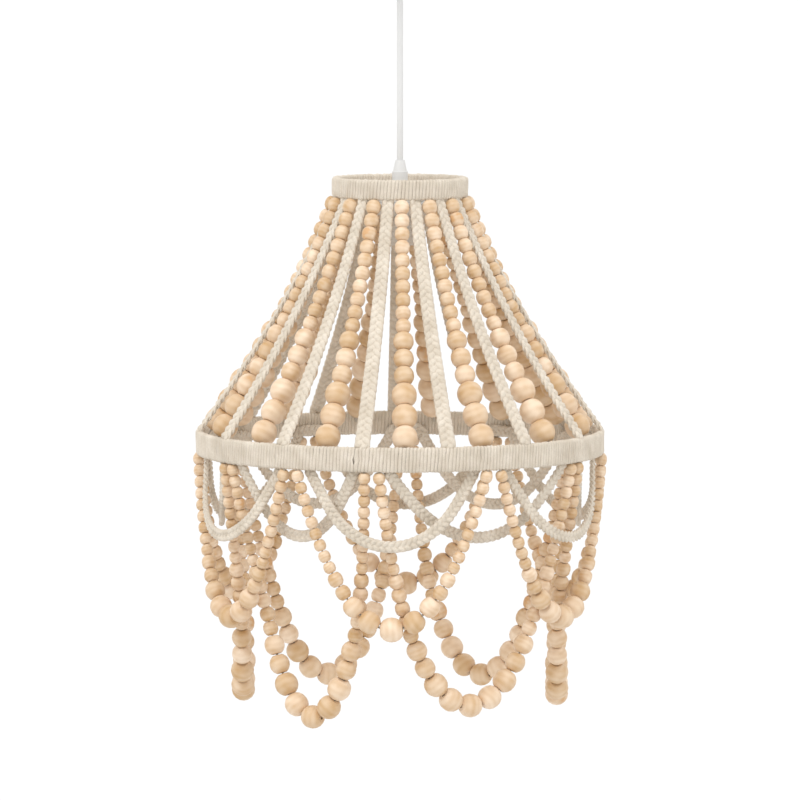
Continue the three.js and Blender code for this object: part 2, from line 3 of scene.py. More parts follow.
import bmesh
import bpy
import numpy as np
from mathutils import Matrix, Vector


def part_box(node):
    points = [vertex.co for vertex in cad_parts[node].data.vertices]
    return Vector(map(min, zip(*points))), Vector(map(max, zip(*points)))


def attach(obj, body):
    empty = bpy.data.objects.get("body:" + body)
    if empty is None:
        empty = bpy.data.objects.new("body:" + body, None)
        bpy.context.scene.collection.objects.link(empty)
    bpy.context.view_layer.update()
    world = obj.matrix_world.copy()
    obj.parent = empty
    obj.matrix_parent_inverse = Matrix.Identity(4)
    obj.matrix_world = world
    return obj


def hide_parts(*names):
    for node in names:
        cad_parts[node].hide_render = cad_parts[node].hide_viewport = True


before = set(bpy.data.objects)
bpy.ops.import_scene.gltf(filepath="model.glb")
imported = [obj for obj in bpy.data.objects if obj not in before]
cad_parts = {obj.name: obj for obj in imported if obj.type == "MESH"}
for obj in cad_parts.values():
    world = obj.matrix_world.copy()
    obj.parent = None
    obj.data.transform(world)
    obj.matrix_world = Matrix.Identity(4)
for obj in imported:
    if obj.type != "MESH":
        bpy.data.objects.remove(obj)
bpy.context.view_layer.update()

# Beaded chandelier. Lengths are in metres, +Z is up and the ceiling face is at the origin.
# The front of the lamp is -Y, and degrees round it grow from the front to the right.
mm = 0.001


# Camera and studio
# The photograph was taken from about six metres with a long lens, a little above the top hoop,
# looking down five degrees, in front of a white background with soft light from all round.
camera_distance = 5.9
camera_height = 0.0673
camera_pitch = 0.0875
lens_length = 272.0
view_depth = 1000.0
sky_strength = 1.0
key_sun = {"strength": 1.15, "spread": 0.9, "tilt": 38, "turn": -32}
fill_sun = {"strength": 0.35, "spread": 1.4, "tilt": 55, "turn": 60}
floor_level = -3.6
floor_reach = 400.0
floor_albedo = 0.76
floor_roughness = 0.9


def finish_material(name, roughness):
    """A material, its tree and its shader, with an even roughness set on the shader itself."""
    material = bpy.data.materials.new(name)
    material.use_nodes = True
    shader = material.node_tree.nodes["Principled BSDF"]
    shader.inputs["Roughness"].default_value = roughness
    return material, material.node_tree, shader


def placed(name, data):
    """Data as an object at the origin."""
    piece = bpy.data.objects.new(name, data)
    bpy.context.scene.collection.objects.link(piece)
    return piece


def soft_sun(name, strength, spread, tilt, turn):
    """A lamp that lights evenly from one side of the sky; tilt and turn are in degrees."""
    light = bpy.data.lights.new(name, "SUN")
    light.energy = strength
    light.angle = spread
    placed(name, light).rotation_euler = (math.radians(tilt), 0, math.radians(turn))


lens = bpy.data.cameras.new("camera")
lens.lens = lens_length
lens.clip_end = view_depth
camera = placed("camera", lens)
camera.location = (0, -camera_distance, camera_height)
camera.rotation_euler = (math.pi / 2 - camera_pitch, 0, 0)
bpy.context.scene.camera = camera
bpy.context.scene.view_settings.view_transform = "Standard"

sky = bpy.data.worlds.new("studio")
sky.use_nodes = True
backdrop = sky.node_tree.nodes["Background"]
backdrop.inputs["Color"].default_value = (1, 1, 1, 1)
backdrop.inputs["Strength"].default_value = sky_strength
bpy.context.scene.world = sky
soft_sun("key_light", **key_sun)
soft_sun("fill_light", **fill_sun)

floor_mesh = bpy.data.meshes.new("floor")
floor_corners = [(-1, -1), (1, -1), (1, 1), (-1, 1)]
floor_mesh.from_pydata(
    [(x * floor_reach, y * floor_reach, floor_level) for x, y in floor_corners],
    [], [(0, 1, 2, 3)])
floor_finish, _, floor_shader = finish_material("floor_paper", floor_roughness)
floor_shader.inputs["Base Color"].default_value = (floor_albedo, floor_albedo, floor_albedo, 1)
floor_mesh.materials.append(floor_finish)
placed("floor", floor_mesh)


# Ceiling cup
# A cup of spun steel with white enamel and a rounded lower edge hides the strap and the terminal
# block. It hangs from the strap, open towards the ceiling, with one hole for the cord grip.
cup_radius = 50 * mm
cup_wall = 1.6 * mm
cup_corner = 12 * mm
cup_hole = 5.3 * mm
turn_sides = 64
fine_turn_sides = 96
turned_edge = math.radians(38)
cup_white = (0.74, 0.74, 0.73)
paint_mottle_scale = 90.0
paint_shade = 0.96


def outlet(node, name):
    """The output of a node with this name that its settings leave in use."""
    return next(socket for socket in node.outputs if socket.enabled and socket.name == name)


def add_node(tree, kind, inputs=(), **settings):
    """A node in a shader or geometry tree; an input is a value or the socket that feeds it."""
    made = tree.nodes.new(kind)
    for name, value in settings.items():
        setattr(made, name, value)
    for key, value in dict(inputs).items():
        names = [socket.name if socket.enabled else None for socket in made.inputs]
        inlet = made.inputs[names.index(key) if isinstance(key, str) else key]
        if isinstance(value, bpy.types.NodeSocket):
            tree.links.new(value, inlet)
        else:
            inlet.default_value = value
    return made


def fed(tree, kind, out, inputs=(), **settings):
    """The named output of a new node."""
    return outlet(add_node(tree, kind, inputs, **settings), out)


def noise(tree, place, scale, detail=2.0, roughness=0.5):
    """A noise pattern over a place."""
    return fed(tree, "ShaderNodeTexNoise", "Fac", {
        "Vector": place, "Scale": scale, "Detail": detail, "Roughness": roughness})


def mottled(tree, shader, place, colour, scale, shade):
    """Clouds a colour with a darker one by a noise, which it gives back."""
    cloud = noise(tree, place, scale)
    darker = [channel * shade for channel in colour]
    tint = fed(tree, "ShaderNodeMix", "Result", {
        "Factor": cloud, "A": (*darker, 1), "B": (*colour, 1)}, data_type="RGBA")
    tree.links.new(tint, shader.inputs["Base Color"])
    return cloud


def raised(tree, shader, height, strength, depth):
    """Gives a surface the fine relief of a pattern."""
    relief = fed(tree, "ShaderNodeBump", "Normal", {
        "Height": height, "Strength": strength, "Distance": depth})
    tree.links.new(relief, shader.inputs["Normal"])


def even_finish(name, colour, roughness, grain_scale, grain_depth=0.1 * mm, relief=0.15):
    """An even painted or moulded surface with a faint mottle and a fine relief."""
    material, tree, shader = finish_material(name, roughness)
    place = fed(tree, "ShaderNodeTexCoord", "Object")
    mottled(tree, shader, place, colour, paint_mottle_scale, paint_shade)
    raised(tree, shader, noise(tree, place, grain_scale), strength=relief, depth=grain_depth)
    return material


def turned(name, outline, material, sides=turn_sides):
    """A solid of revolution from (radius, level) pairs that start and end on the axis, or close."""
    closed = outline[0] == outline[-1]
    profile = outline[:-1] if closed else outline
    shell = bmesh.new()
    turns = [2 * math.pi * k / sides for k in range(sides)]
    rings = []
    for radius, level in profile:
        around = turns if radius > 0 else [0]
        rings.append([
            shell.verts.new((radius * math.cos(turn), radius * math.sin(turn), level))
            for turn in around])
    following = rings[1:] + rings[:1] if closed else rings[1:]
    for lower, upper in zip(rings, following):
        for k in range(sides):
            corners = [lower[k % len(lower)], lower[(k + 1) % sides % len(lower)],
                       upper[(k + 1) % sides % len(upper)], upper[k % len(upper)]]
            unique = list(dict.fromkeys(corners))
            if len(unique) > 2:
                shell.faces.new(unique)
    bmesh.ops.recalc_face_normals(shell, faces=shell.faces)
    mesh = bpy.data.meshes.new(name)
    shell.to_mesh(mesh)
    shell.free()
    mesh.materials.append(material)
    mesh.shade_smooth()
    mesh.set_sharp_from_angle(angle=turned_edge)
    return placed(name, mesh)


def stands_for(piece, node, body):
    """Shows a piece in place of a CAD node and the body it moves with."""
    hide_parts(node)
    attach(piece, body)


def quarter(radius, level, bend, steps=10):
    """A quarter arc from the side of the cup round to its floor."""
    arc = [math.pi / 2 * k / steps for k in range(steps + 1)]
    return [(radius + bend * math.cos(a), level - bend * math.sin(a)) for a in arc]


cup_enamel = even_finish("cup_enamel", cup_white, roughness=0.36, grain_scale=900.0,
                         grain_depth=0.15 * mm, relief=0.25)
cup_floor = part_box("ceiling_cup")[0].z
bend_level = cup_floor + cup_corner
bend_radius = cup_radius - cup_corner
cup_outline = [(cup_radius, 0), *quarter(bend_radius, bend_level, cup_corner)]
cup_outline += [(cup_hole, cup_floor), (cup_hole, cup_floor + cup_wall)]
cup_outline += quarter(bend_radius, bend_level, cup_corner - cup_wall)[::-1]
cup_outline += [(cup_radius - cup_wall, 0), (cup_radius, 0)]
cup = turned("ceiling_cup_turned", cup_outline, cup_enamel, fine_turn_sides)
stands_for(cup, "ceiling_cup", "ceiling")


# Strap and terminal block
# A bent steel strap is screwed to the ceiling through its two slots, and a small plastic
# terminal block under it joins the wires. Both sit out of sight inside the cup.
strap_grey = (0.62, 0.63, 0.64)
terminal_cream = (0.78, 0.77, 0.72)
metal_mottle_scale = 160.0
metal_shade = 0.8
metal_dullness = (-0.1, 0.15)
rolling_stretch = (1, 1, 14)
rolling_scale = 220.0
rolling_depth = 0.1 * mm


def between(tree, share, low, high):
    """A value that goes from one limit to the other as a share goes from 0 to 1."""
    return fed(tree, "ShaderNodeMapRange", "Result", {
        "Value": share, "To Min": low, "To Max": high})


def metal_finish(name, colour, roughness, metallic=1.0):
    """Bare or near-black sheet steel with fine rolling lines and uneven dullness."""
    material, tree, shader = finish_material(name, roughness)
    shader.inputs["Metallic"].default_value = metallic
    place = fed(tree, "ShaderNodeTexCoord", "Object")
    cloud = mottled(tree, shader, place, colour, metal_mottle_scale, metal_shade)
    dull = between(tree, cloud, *[roughness + change for change in metal_dullness])
    tree.links.new(dull, shader.inputs["Roughness"])
    rolled = fed(tree, "ShaderNodeMapping", "Vector", {"Vector": place, "Scale": rolling_stretch})
    lines = noise(tree, rolled, rolling_scale, detail=4.0)
    raised(tree, shader, lines, strength=0.2, depth=rolling_depth)
    return material


def finish_node(node, material):
    """Gives a CAD node that stays in view its finish."""
    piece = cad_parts[node]
    piece.data.materials.clear()
    piece.data.materials.append(material)


strap_steel = metal_finish("strap_steel", strap_grey, roughness=0.4)
finish_node("ceiling_strap", strap_steel)
terminal_plastic = even_finish(
    "terminal_plastic", terminal_cream, roughness=0.5, grain_scale=1500.0)
finish_node("terminal_block", terminal_plastic)


# Cord grips
# Turned plastic strain reliefs. The upper one is screwed through the floor of the ceiling cup
# with a nut inside it, and the lower one is a cone on a collar that stands on the lamp holder.
grip_tip = 4.5 * mm
grip_waist = 7 * mm
grip_collar = 7.7 * mm
grip_cone_length = 11 * mm
grip_edge = 0.8 * mm
grip_throat = 3.4 * mm
grip_lip = 3.95 * mm
mouth_depth = 4 * mm
throat_depth = 4.73 * mm
flange_radius = 10 * mm
flange_rim = 1 * mm
stem_radius = 5 * mm
nut_radius = 8.5 * mm
nut_height = 4 * mm
seat_gap = 0.3 * mm
lamp_white = (0.70, 0.70, 0.69)


def rounded(corner_points, radius, steps=4):
    """The same outline with the corners between its ends turned into small arcs."""
    points = [Vector(point) for point in corner_points]
    smooth = [tuple(points[0])]
    for before, here, after in zip(points, points[1:], points[2:]):
        reach = min(radius, (here - before).length / 2, (after - here).length / 2)
        start = here + (before - here).normalized() * reach
        end = here + (after - here).normalized() * reach
        for k in range(steps + 1):
            share = k / steps
            spot = start.lerp(here, share).lerp(here.lerp(end, share), share)
            smooth.append(tuple(spot))
    smooth.append(tuple(points[-1]))
    return smooth


def mouth(tip, inward):
    """Outline of the bell mouth that lets the cable lean, from its tip to the axis."""
    return [(grip_tip, tip), (grip_lip, tip), (grip_throat, tip + inward * mouth_depth),
            (grip_throat, tip + inward * throat_depth), (0, tip + inward * throat_depth)]


grip_plastic = even_finish("grip_plastic", lamp_white, roughness=0.38, grain_scale=2600.0)
upper_tip, nut_top = [corner.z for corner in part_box("ceiling_grip")]
shoulder = cup_floor - seat_gap
upper_outline = rounded([
    (0, nut_top), (nut_radius, nut_top), (nut_radius, nut_top - nut_height),
    (stem_radius, nut_top - nut_height), (stem_radius, shoulder), (flange_radius, shoulder),
    (flange_radius, shoulder - flange_rim), *mouth(upper_tip, 1)], grip_edge / 2)
upper_grip = turned("ceiling_grip_turned", upper_outline, grip_plastic)
stands_for(upper_grip, "ceiling_grip", "ceiling")

grip_foot, grip_top = [corner.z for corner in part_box("cord_grip")]
collar_top = grip_top - grip_cone_length
lower_outline = rounded([
    (0, grip_foot), (grip_collar, grip_foot), (grip_collar, collar_top),
    (grip_waist, collar_top), *mouth(grip_top, -1)], grip_edge)
lower_grip = turned("cord_grip_turned", lower_outline, grip_plastic)
stands_for(lower_grip, "cord_grip", "shade")


# Pendant cable
# A round white plastic cable hangs taut between the two cord grips.
# Its ends run 4 mm into the bell mouths of both.
cable_diameter = 6.2 * mm
cable_points = 16
cable_sides = 24
tube_edge = math.radians(50)


def tube(name, points, radius, sides, material):
    """A round tube with flat closed ends through the points."""
    line = bpy.data.curves.new(name, "CURVE")
    line.dimensions = "3D"
    line.bevel_depth = radius
    line.bevel_resolution = sides // 4 - 1
    line.use_fill_caps = True
    spline = line.splines.new("POLY")
    spline.points.add(len(points) - 1)
    for spot, point in zip(spline.points, points):
        spot.co = (*point, 1)
    guide = placed(name, line)
    mesh = bpy.data.meshes.new_from_object(
        guide.evaluated_get(bpy.context.evaluated_depsgraph_get()))
    bpy.data.objects.remove(guide)
    mesh.materials.clear()
    mesh.materials.append(material)
    mesh.shade_smooth()
    mesh.set_sharp_from_angle(angle=tube_edge)
    return placed(name, mesh)


cable_sheath = even_finish("cable_sheath", lamp_white, roughness=0.42, grain_scale=1800.0)
cable_top = upper_tip + mouth_depth
cable_end = grip_top - mouth_depth
cable_length = cable_top - cable_end
cable_route = [(0, 0, cable_top - cable_length * k / (cable_points - 1))
               for k in range(cable_points)]
cable = tube("pendant_cable_round", cable_route, cable_diameter / 2, cable_sides, cable_sheath)
stands_for(cable, "pendant_cable", "cable")


# Lamp holder
# A domed cap and a flanged body of white plastic, tinted cream as painted warm light bounced from
# the beads. The body has a fine outer thread for the ring that clamps the shade, and a bore in
# which the lamp is screwed.
holder_radius = 20 * mm
crown_radius = 8.7 * mm
bore_radius = 13.5 * mm
bore_depth = 34 * mm
flange_reach = 23 * mm
flange_height = 4 * mm
dome_steps = 16
screw_depth = 0.5 * mm
screw_pitch = 2.5 * mm
holder_edge = 0.4 * mm
holder_edge_steps = 2
ring_inner = 20.3 * mm
ring_outer = 27.3 * mm
ring_ribs = 32
rib_depth = 0.5 * mm
rib_sides = 6
# The cream tint on white plastic is painted warm bounce light from the wooden beads; the shade ring
# shares it.
holder_white_with_bounce = (0.72, 0.685, 0.63)

holder_plastic = even_finish("holder_plastic", holder_white_with_bounce, roughness=0.4, grain_scale=2200.0)
cap_foot, cap_top = [corner.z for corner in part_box("lamp_holder_cap")]
dome = []
for k in range(1, dome_steps + 1):
    lean = math.pi / 2 * k / dome_steps
    dome.append((crown_radius + (holder_radius - crown_radius) * math.sin(lean),
                 cap_foot + (cap_top - cap_foot) * (1 + math.cos(lean)) / 2))
cap_outline = [(0, cap_top), (crown_radius, cap_top), *dome, (holder_radius, cap_foot),
               (0, cap_foot)]
cap = turned("lamp_holder_cap_turned", cap_outline, holder_plastic)
stands_for(cap, "lamp_holder_cap", "shade")

body_foot, body_top = [corner.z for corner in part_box("lamp_holder_body")]
flange_foot = body_top - flange_height
screw_turns = int((flange_foot - body_foot) / screw_pitch) - 1
screw = []
for k in range(screw_turns):
    level = flange_foot - screw_pitch * (k + 1)
    screw += [(holder_radius, level), (holder_radius, level - screw_pitch / 4),
              (holder_radius - screw_depth, level - screw_pitch / 2)]
body_outline = rounded([
    (0, body_top), (flange_reach, body_top), (flange_reach, flange_foot),
    (holder_radius, flange_foot), *screw, (holder_radius, body_foot),
    (bore_radius, body_foot), (bore_radius, body_foot + bore_depth),
    (0, body_foot + bore_depth)], holder_edge, holder_edge_steps)
holder = turned("lamp_holder_body_turned", body_outline, holder_plastic)
stands_for(holder, "lamp_holder_body", "shade")


def ring_section(inner, outer, foot, top, start):
    """Outline of a ring with rounded edges, from a level on its inner face and back to it."""
    return rounded([(inner, start), (inner, foot), (outer, foot), (outer, top), (inner, top),
                    (inner, start)], grip_edge)


ring_foot, ring_top = [corner.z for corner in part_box("shade_ring")]
shade_ring = turned(
    "shade_ring_ribbed",
    ring_section(ring_inner, ring_outer, ring_foot, ring_top, (ring_foot + ring_top) / 2),
    holder_plastic, ring_ribs * rib_sides)
for vertex in shade_ring.data.vertices:
    reach = math.hypot(vertex.co.x, vertex.co.y)
    if reach > ring_outer - grip_edge / 2:
        wave = math.cos(ring_ribs * math.atan2(vertex.co.y, vertex.co.x))
        shrink = 1 - rib_depth * (1 - wave) / 2 / reach
        vertex.co.x *= shrink
        vertex.co.y *= shrink
stands_for(shade_ring, "shade_ring", "shade")


# Spider
# A flat steel ring is clamped between the flange of the lamp holder and its screw ring, and
# three bent wires run up from it into the binding of the top hoop, all with a white coat.
spider_inner = 20.6 * mm
spider_outer = 27.6 * mm
spider_wire = 4 * mm
spider_reach = 61 * mm
elbow_inset = 8 * mm
elbow_steps = 8
spider_arms = 3
wire_sides = 16


def polar(degrees, radius, level):
    """Point at an angle round the lamp, a radius and a level."""
    angle = math.radians(degrees)
    return np.array([radius * math.sin(angle), -radius * math.cos(angle), level])


def joined(name, pieces):
    """Several solids in one mesh, with the materials of the first."""
    whole = bmesh.new()
    for piece in pieces:
        whole.from_mesh(piece.data)
    mesh = pieces[0].data.copy()
    mesh.name = name
    whole.to_mesh(mesh)
    whole.free()
    for piece in pieces:
        bpy.data.objects.remove(piece)
    return placed(name, mesh)


spider_enamel = even_finish("spider_enamel", lamp_white, roughness=0.35, grain_scale=1200.0,
                            grain_depth=0.15 * mm, relief=0.25)
spider_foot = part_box("spider")[0].z
spider_level = spider_foot + spider_wire / 2
hoop_level = sum(corner.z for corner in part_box("top_hoop_binding")) / 2
centre_section = ring_section(
    spider_inner, spider_outer, spider_foot, spider_foot + spider_wire, spider_level)
spider_pieces = [turned("spider_ring", centre_section, spider_enamel)]
for arm in range(spider_arms):
    spread = 360 / spider_arms * arm
    bends = rounded([
        ((spider_inner + spider_outer) / 2, spider_level),
        (spider_reach - elbow_inset, hoop_level), (spider_reach, hoop_level)],
        elbow_inset, elbow_steps)
    route = [polar(spread, radius, level) for radius, level in bends]
    spider_pieces.append(tube(
        f"spider_arm_{arm + 1}", route, spider_wire / 2, wire_sides, spider_enamel))
spider = joined("spider_wires", spider_pieces)
stands_for(spider, "spider", "shade")


# Hoops
# Two flat steel bands, coloured near black as painted shade for the slots, are wound closely all
# round with one cotton cord. Beside each point where the swags hang, two turns of the mid hoop are
# pushed apart into a slot where the black band shows.
hoop_thickness = 7 * mm
cord_depth = 2 * mm
winding_corner = 1.6 * mm
mid_turns = 359
top_turns = 119
cord_overlap = 1.1
cord_section_sides = 6
corner_steps = 2
side_steps = 4
cord_unevenness = 2.2 * mm
unevenness_scale = (290.0, 290.0, 55.0)
turn_weld_gap = 0.02 * mm
slot_stride = 16 * mm
slot_depth = 2.2 * mm
slot_half_width = 1.5 * mm
slot_half_height = 5.2 * mm
slot_fade = 5 * mm
noise_middle = (0.5, 0.5, 0.5)
outer_points = [-32, 27, 88, 148, 208, 268]
inner_points = [-8, 60, 118, 178, 238, 302]
# Near black: painted shade for the slots where the band shows between the turns.
band_slot_shade_black = (0.05, 0.048, 0.045)
cotton_shade_stop = (0.1, (0.56, 0.485, 0.385, 1))
cotton_light_stop = (0.42, (0.78, 0.705, 0.602, 1))
cotton_patch_scale = 60.0
cotton_fibre_scale = 1500.0
ply_depth = 0.5 * mm


def maths(tree, operation, *values):
    """The result of a step of arithmetic on numbers or sockets."""
    return fed(tree, "ShaderNodeMath", "Value", dict(enumerate(values)), operation=operation)


def vector_maths(tree, operation, first, second):
    """The result of a step of arithmetic on two vectors, or on a vector and a scale."""
    key = "Scale" if operation == "SCALE" else 1
    return fed(tree, "ShaderNodeVectorMath", "Vector", {0: first, key: second},
               operation=operation)


def tinted(tree, share, *stops):
    """A colour for each share from stops of a position and a colour."""
    tint = add_node(tree, "ShaderNodeValToRGB", {"Fac": share})
    ramp = tint.color_ramp.elements
    for number, (position, colour) in enumerate(stops):
        stop = ramp[number] if number < len(ramp) else ramp.new(position)
        stop.position = position
        stop.color = colour
    return outlet(tint, "Color")


def cotton_finish(name, plies, twist, strength):
    """Off-white cotton whose twisted plies run slanting across the UV of the cord."""
    material, tree, shader = finish_material(name, roughness=0.95)
    shader.inputs["Specular IOR Level"].default_value = 0.2
    shader.inputs["Sheen Weight"].default_value = 0.15
    coordinates = add_node(tree, "ShaderNodeTexCoord")
    place = outlet(coordinates, "Object")
    patches = noise(tree, place, cotton_patch_scale, detail=3.0)
    fibres = noise(tree, place, cotton_fibre_scale, detail=3.0)
    share = maths(tree, "MULTIPLY", patches, fibres)
    tint = tinted(tree, share, cotton_shade_stop, cotton_light_stop)
    tree.links.new(tint, shader.inputs["Base Color"])
    slant = fed(tree, "ShaderNodeMapping", "Vector", {
        "Vector": outlet(coordinates, "UV"), "Scale": (twist, plies, 1)})
    split = add_node(tree, "ShaderNodeSeparateXYZ", {"Vector": slant})
    turn = maths(tree, "ADD", outlet(split, "X"), outlet(split, "Y"))
    wave = maths(tree, "SINE", maths(tree, "MULTIPLY", turn, math.pi))
    fuzz = maths(tree, "ADD", fibres, maths(tree, "ABSOLUTE", wave))
    raised(tree, shader, fuzz, strength, depth=ply_depth)
    return material


def geometry_tree(name, **kinds):
    """A geometry tree with named inputs besides its own mesh, and the sockets that give them."""
    tree = bpy.data.node_groups.new(name, "GeometryNodeTree")
    tree.interface.new_socket("Geometry", in_out="OUTPUT", socket_type="NodeSocketGeometry")
    tree.interface.new_socket("Geometry", in_out="INPUT", socket_type="NodeSocketGeometry")
    for key, kind in kinds.items():
        tree.interface.new_socket(key, in_out="INPUT", socket_type="NodeSocket" + kind)
    given = tree.nodes.new("NodeGroupInput")
    return tree, {socket.name: socket for socket in given.outputs}


def grown(name, guide_mesh, tree, **values):
    """The mesh that a geometry tree grows from a guide mesh, as an object of its own."""
    piece = placed(name, guide_mesh)
    growth = piece.modifiers.new("growth", "NODES")
    growth.node_group = tree
    for item in tree.interface.items_tree:
        if item.in_out == "INPUT" and item.name in values:
            growth[item.identifier] = values[item.name]
    piece.update_tag()
    sight = bpy.context.evaluated_depsgraph_get()
    shape = bpy.data.meshes.new_from_object(
        piece.evaluated_get(sight), preserve_all_data_layers=True, depsgraph=sight)
    piece.modifiers.clear()
    piece.data = shape
    shape.name = name
    return piece


def dressed(tree, geometry, material):
    """Makes the instances real and gives them their material."""
    real = fed(tree, "GeometryNodeRealizeInstances", "Geometry", {"Geometry": geometry})
    return fed(tree, "GeometryNodeSetMaterial", "Geometry", {
        "Geometry": real, "Material": material})


def end_tree(tree, geometry):
    """Ends the tree with its result."""
    tree.links.new(geometry, tree.nodes.new("NodeGroupOutput").inputs["Geometry"])


winding_tree, winding = geometry_tree(
    "winding", Turn="Object", Count="Int", Unevenness="Float", Cotton="Material")
turn_shape = fed(winding_tree, "GeometryNodeObjectInfo", "Geometry", {
    "Object": winding["Turn"]})
turn_starts = fed(winding_tree, "GeometryNodeMeshLine", "Mesh", {
    "Count": winding["Count"], "Offset": (0, 0, 0)})
turn_index = fed(winding_tree, "GeometryNodeInputIndex", "Index")
turn_share = maths(winding_tree, "DIVIDE", turn_index, winding["Count"])
turn_angle = maths(winding_tree, "MULTIPLY", turn_share, 2 * math.pi)
turn_euler = fed(winding_tree, "ShaderNodeCombineXYZ", "Vector", {"Z": turn_angle})
turn_rotation = fed(winding_tree, "FunctionNodeEulerToRotation", "Rotation", {
    "Euler": turn_euler})
turn_copies = fed(winding_tree, "GeometryNodeInstanceOnPoints", "Instances", {
    "Points": turn_starts, "Instance": turn_shape, "Rotation": turn_rotation})
turn_cord = fed(winding_tree, "GeometryNodeRealizeInstances", "Geometry", {
    "Geometry": turn_copies})
turn_weld = fed(winding_tree, "GeometryNodeMergeByDistance", "Geometry", {
    "Geometry": turn_cord, "Distance": turn_weld_gap})
turn_place = vector_maths(
    winding_tree, "MULTIPLY",
    fed(winding_tree, "GeometryNodeInputPosition", "Position"), unevenness_scale)
turn_noise = fed(winding_tree, "ShaderNodeTexNoise", "Color", {
    "Vector": turn_place, "Scale": 1.0, "Detail": 1.0})
turn_lean = vector_maths(winding_tree, "SUBTRACT", turn_noise, noise_middle)
turn_shift = vector_maths(winding_tree, "SCALE", turn_lean, winding["Unevenness"])
turn_uneven = fed(winding_tree, "GeometryNodeSetPosition", "Geometry", {
    "Geometry": turn_weld, "Offset": turn_shift})
end_tree(winding_tree, dressed(winding_tree, turn_uneven, winding["Cotton"]))


def straight_run(station, end, steps):
    """Even stations on from one towards a spot, without either, with the lean of the first."""
    spot, lean = station
    return [(spot + (end - spot) * k / steps, lean) for k in range(1, steps)]


def winding_turn(name, inner, outer, foot, top, turns):
    """One turn of the cord round the band, slanting on to where the next turn starts."""
    half = cord_depth / 2
    low, high = foot + half, top - half
    near, far = inner + half, outer - half
    corner_centres = [(far, low, -90), (far, high, 0), (near, high, 90), (near, low, 180)]
    path = []
    for radius, level, start in corner_centres:
        centre_radius = radius + (-1 if radius == far else 1) * winding_corner
        centre_level = level + (1 if level == low else -1) * winding_corner
        for k in range(corner_steps + 1):
            angle = math.radians(start + 90 * k / corner_steps)
            lean = np.array([math.cos(angle), math.sin(angle)])
            spot = np.array([centre_radius, centre_level]) + winding_corner * lean
            if path and k == 0:
                path += straight_run(path[-1], spot, side_steps)
            path.append((spot, lean))
    path += straight_run(path[-1], path[0][0], side_steps) + [path[0]]
    lengths = [np.linalg.norm(b[0] - a[0]) for a, b in zip(path, path[1:])]
    shares = np.concatenate([[0], np.cumsum(lengths)]) / sum(lengths)
    width = 2 * math.pi * far / turns * cord_overlap
    step = 2 * math.pi / turns
    places, faces, uvs = [], [], []
    for (spot, lean), share in zip(path, shares):
        angle = share * step
        along = np.array([-math.sin(angle), math.cos(angle), 0])
        out = np.array([math.cos(angle), math.sin(angle), 0])
        centre = out * spot[0] + np.array([0, 0, spot[1]])
        normal = out * lean[0] + np.array([0, 0, lean[1]])
        for k in range(cord_section_sides):
            turn = 2 * math.pi * k / cord_section_sides
            places.append(centre + normal * half * math.cos(turn)
                          + along * width / 2 * math.sin(turn))
    for ring in range(len(path) - 1):
        for k in range(cord_section_sides):
            after = (k + 1) % cord_section_sides
            base = ring * cord_section_sides
            faces.append((base + k, base + after, base + cord_section_sides + after,
                          base + cord_section_sides + k))
            uvs += [(shares[ring], k), (shares[ring], k + 1),
                    (shares[ring + 1], k + 1), (shares[ring + 1], k)]
    mesh = bpy.data.meshes.new(name)
    mesh.from_pydata(places, [], faces)
    layer = mesh.uv_layers.new(name="UVMap")
    for corner, (u, v) in zip(layer.data, uvs):
        corner.uv = (u, v / cord_section_sides)
    mesh.shade_smooth()
    return bpy.data.objects.new(name, mesh)


def bound_hoop(hoop, turns, material):
    """The wound cord of a hoop, as one mesh that fills the CAD binding."""
    low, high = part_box(hoop + "_binding")
    turn = winding_turn(hoop + "_turn", high.x - hoop_thickness, high.x, low.z, high.z, turns)
    guide = bpy.data.meshes.new(hoop)
    piece = grown(hoop + "_winding", guide, winding_tree, Turn=turn, Count=turns,
                  Unevenness=cord_unevenness, Cotton=material)
    bpy.data.objects.remove(turn)
    return piece


def open_slots(piece, points, radius, level):
    """Pushes the turns of the outer face apart beside each point."""
    count = len(piece.data.vertices)
    places = np.empty(count * 3)
    piece.data.vertices.foreach_get("co", places)
    places = places.reshape(-1, 3)
    reach = np.hypot(places[:, 0], places[:, 1])
    turn = np.arctan2(places[:, 0], -places[:, 1])
    rise = np.clip(np.abs(places[:, 2] - level) / slot_half_height, 0, 1)
    for point in points:
        middle = math.radians(point) - slot_stride / radius
        across = (turn - middle + math.pi) % (2 * math.pi) - math.pi
        distance = across * radius
        push = np.sign(distance) * slot_half_width * np.exp(-np.abs(distance) / slot_fade)
        push *= np.cos(rise * math.pi / 2) ** 2 * (reach > radius - slot_depth)
        turn = turn + push / radius
    places[:, 0] = reach * np.sin(turn)
    places[:, 1] = -reach * np.cos(turn)
    piece.data.vertices.foreach_set("co", places.ravel())
    piece.data.update()


hoop_steel = metal_finish("hoop_steel", band_slot_shade_black, roughness=0.5, metallic=0.8)
finish_node("top_hoop_band", hoop_steel)
finish_node("mid_hoop_band", hoop_steel)
cotton_binding = cotton_finish("cotton_binding", plies=3, twist=24, strength=0.5)
top_winding = bound_hoop("top_hoop", top_turns, cotton_binding)
stands_for(top_winding, "top_hoop_binding", "shade")
mid_winding = bound_hoop("mid_hoop", mid_turns, cotton_binding)
mid_low, mid_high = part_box("mid_hoop_binding")
mid_level = (mid_low.z + mid_high.z) / 2
open_slots(mid_winding, outer_points + inner_points, mid_high.x, mid_level)
stands_for(mid_winding, "mid_hoop_binding", "shade")


